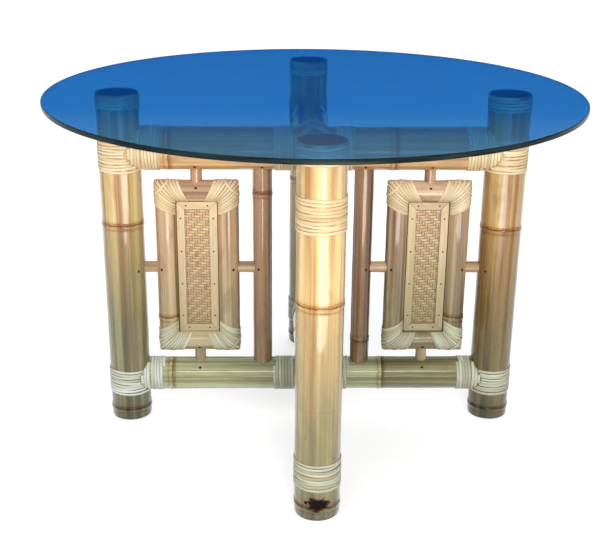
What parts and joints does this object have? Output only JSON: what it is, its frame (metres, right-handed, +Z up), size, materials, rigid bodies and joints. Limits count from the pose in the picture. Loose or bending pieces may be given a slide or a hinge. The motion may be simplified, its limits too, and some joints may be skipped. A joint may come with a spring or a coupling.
{
  "type": "bamboo table with a round glass top",
  "caption": "Round glass table top lying loose on a cross-shaped bamboo base of thick legs, rails bound with rattan, slim posts and framed woven panels.",
  "frame": {"origin": "on the floor under the middle of the cross base", "axes": "+Z up; +X along the unbroken left-right rails towards the right leg; -Y towards the front leg, which faces the viewer"},
  "size_m": [1.1198, 1.12, 0.75],
  "materials": {
    "glass": "polished clear sheet with a blue cast",
    "leg_bamboo": "lacquered bamboo, honey above and olive grey towards the feet",
    "rail_bamboo": "lacquered bamboo, golden tan",
    "post_bamboo": "lacquered bamboo, brown",
    "panel_bamboo": "lacquered bamboo, mauve brown to olive tan",
    "dowel": "satin round bamboo stock",
    "hardwood": "turned hardwood",
    "lath": "split bamboo lath, pale straw",
    "woven_mat": "woven split bamboo, golden tan",
    "rattan": "varnished rattan strip, pale straw",
    "pin": "dark hardwood pin",
    "nail": "small steel nail"
  },
  "bodies": {
    "base": {"dowel_pins": "pin", "lath_nails": "nail", "leg_back": "leg_bamboo", "leg_back_bindings": "rattan", "leg_front": "leg_bamboo", "leg_front_bindings": "rattan", "leg_left": "leg_bamboo", "leg_left_bindings": "rattan", "leg_right": "leg_bamboo", "leg_right_bindings": "rattan", "leg_top_plugs": "hardwood", "lower_back_rail": "rail_bamboo", "lower_crossing_bindings": "rattan", "lower_front_rail": "rail_bamboo", "lower_long_rail": "rail_bamboo", "panel_back_bottom_rail": "panel_bamboo", "panel_back_corner_bindings": "rattan", "panel_back_dowels": "dowel", "panel_back_inner_stile": "panel_bamboo", "panel_back_laths": "lath", "panel_back_mat": "woven_mat", "panel_back_outer_stile": "panel_bamboo", "panel_back_top_rail": "panel_bamboo", "panel_front_bottom_rail": "panel_bamboo", "panel_front_corner_bindings": "rattan", "panel_front_dowels": "dowel", "panel_front_inner_stile": "panel_bamboo", "panel_front_laths": "lath", "panel_front_mat": "woven_mat", "panel_front_outer_stile": "panel_bamboo", "panel_front_top_rail": "panel_bamboo", "panel_left_bottom_rail": "panel_bamboo", "panel_left_corner_bindings": "rattan", "panel_left_dowels": "dowel", "panel_left_inner_stile": "panel_bamboo", "panel_left_laths": "lath", "panel_left_mat": "woven_mat", "panel_left_outer_stile": "panel_bamboo", "panel_left_top_rail": "panel_bamboo", "panel_right_bottom_rail": "panel_bamboo", "panel_right_corner_bindings": "rattan", "panel_right_dowels": "dowel", "panel_right_inner_stile": "panel_bamboo", "panel_right_laths": "lath", "panel_right_mat": "woven_mat", "panel_right_outer_stile": "panel_bamboo", "panel_right_top_rail": "panel_bamboo", "post_back": "post_bamboo", "post_dowels": "hardwood", "post_front": "post_bamboo", "post_left": "post_bamboo", "post_right": "post_bamboo", "rail_tenon_plugs": "hardwood", "upper_back_rail": "rail_bamboo", "upper_crossing_bindings": "rattan", "upper_front_rail": "rail_bamboo", "upper_long_rail": "rail_bamboo"},
    "glass_top": {"glass_top": "glass"}
  },
  "joints": [
    {"name": "glass_lift", "type": "slide", "parent": "base", "child": "glass_top", "axis": [0, 0, 1], "range_m": [0, 0.3]}
  ]
}
